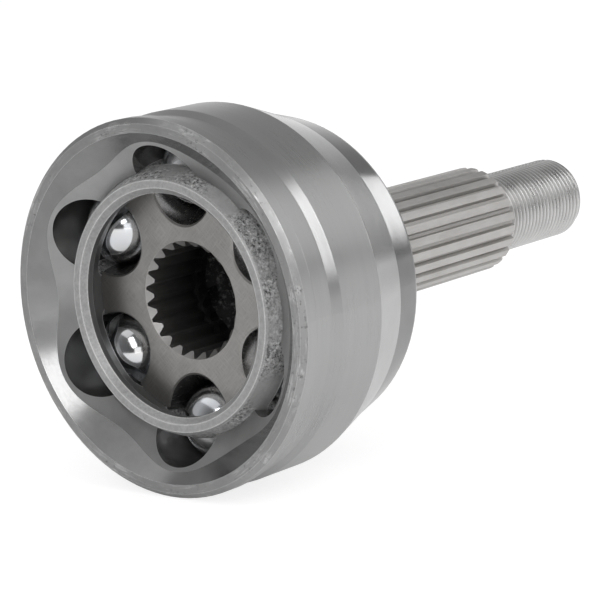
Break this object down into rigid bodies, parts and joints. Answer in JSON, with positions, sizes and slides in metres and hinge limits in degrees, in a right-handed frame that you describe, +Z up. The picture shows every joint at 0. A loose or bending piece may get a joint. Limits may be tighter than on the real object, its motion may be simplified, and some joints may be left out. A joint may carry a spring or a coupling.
{
  "type": "constant velocity joint",
  "caption": "Fixed-ball constant-velocity joint: open bell with ball tracks on a splined, threaded stub, a windowed cage, steel balls and a splined star that tilts inside it.",
  "frame": {"origin": "joint centre, where the axes of the stub and of the drive shaft cross, in the plane of the ball centres", "axes": "+Y along the stub towards its thread, -Y out of the open mouth, +Z up through the first ball"},
  "size_m": [0.0842, 0.1521, 0.0842],
  "materials": {
    "bell_steel": "turned satin",
    "cage_steel": "hardened, ground ring",
    "star_steel": "machined, oiled",
    "ball_chrome": "polished"
  },
  "bodies": {
    "outer_race": {"outer_race": "bell_steel"},
    "cage": {"cage": "cage_steel"},
    "inner_race": {"inner_race": "star_steel"},
    "ball_1": {"ball_1": "ball_chrome"},
    "ball_2": {"ball_2": "ball_chrome"},
    "ball_3": {"ball_3": "ball_chrome"},
    "ball_4": {"ball_4": "ball_chrome"},
    "ball_5": {"ball_5": "ball_chrome"},
    "ball_6": {"ball_6": "ball_chrome"}
  },
  "joints": [
    {"name": "articulation", "type": "hinge", "parent": "outer_race", "child": "inner_race", "pos_m": [0, 0, 0], "axis": [1, 0, 0], "range_deg": [-45, 45]},
    {"name": "cage_tilt", "type": "hinge", "parent": "outer_race", "child": "cage", "pos_m": [0, 0, 0], "axis": [1, 0, 0], "range_deg": [-22.5, 22.5]},
    {"name": "ball_1_travel", "type": "hinge", "parent": "outer_race", "child": "ball_1", "pos_m": [0, -0.004, 0], "axis": [1, 0, 0], "range_deg": [-22.5, 22.5]},
    {"name": "ball_2_travel", "type": "hinge", "parent": "outer_race", "child": "ball_2", "pos_m": [0, -0.004, 0], "axis": [0.5, 0, -0.866], "range_deg": [-11.7, 11.7]},
    {"name": "ball_3_travel", "type": "hinge", "parent": "outer_race", "child": "ball_3", "pos_m": [0, -0.004, 0], "axis": [-0.5, 0, -0.866], "range_deg": [-11.7, 11.7]},
    {"name": "ball_4_travel", "type": "hinge", "parent": "outer_race", "child": "ball_4", "pos_m": [0, -0.004, 0], "axis": [-1, 0, 0], "range_deg": [-22.5, 22.5]},
    {"name": "ball_5_travel", "type": "hinge", "parent": "outer_race", "child": "ball_5", "pos_m": [0, -0.004, 0], "axis": [-0.5, 0, 0.866], "range_deg": [-11.7, 11.7]},
    {"name": "ball_6_travel", "type": "hinge", "parent": "outer_race", "child": "ball_6", "pos_m": [0, -0.004, 0], "axis": [0.5, 0, 0.866], "range_deg": [-11.7, 11.7]}
  ],
  "couplings": [
    {"joint": "cage_tilt", "follows": "articulation", "ratio": 0.5},
    {"joint": "ball_1_travel", "follows": "articulation", "ratio": 0.5},
    {"joint": "ball_2_travel", "follows": "articulation", "ratio": 0.259},
    {"joint": "ball_3_travel", "follows": "articulation", "ratio": -0.259},
    {"joint": "ball_4_travel", "follows": "articulation", "ratio": -0.5},
    {"joint": "ball_5_travel", "follows": "articulation", "ratio": -0.259},
    {"joint": "ball_6_travel", "follows": "articulation", "ratio": 0.259}
  ]
}
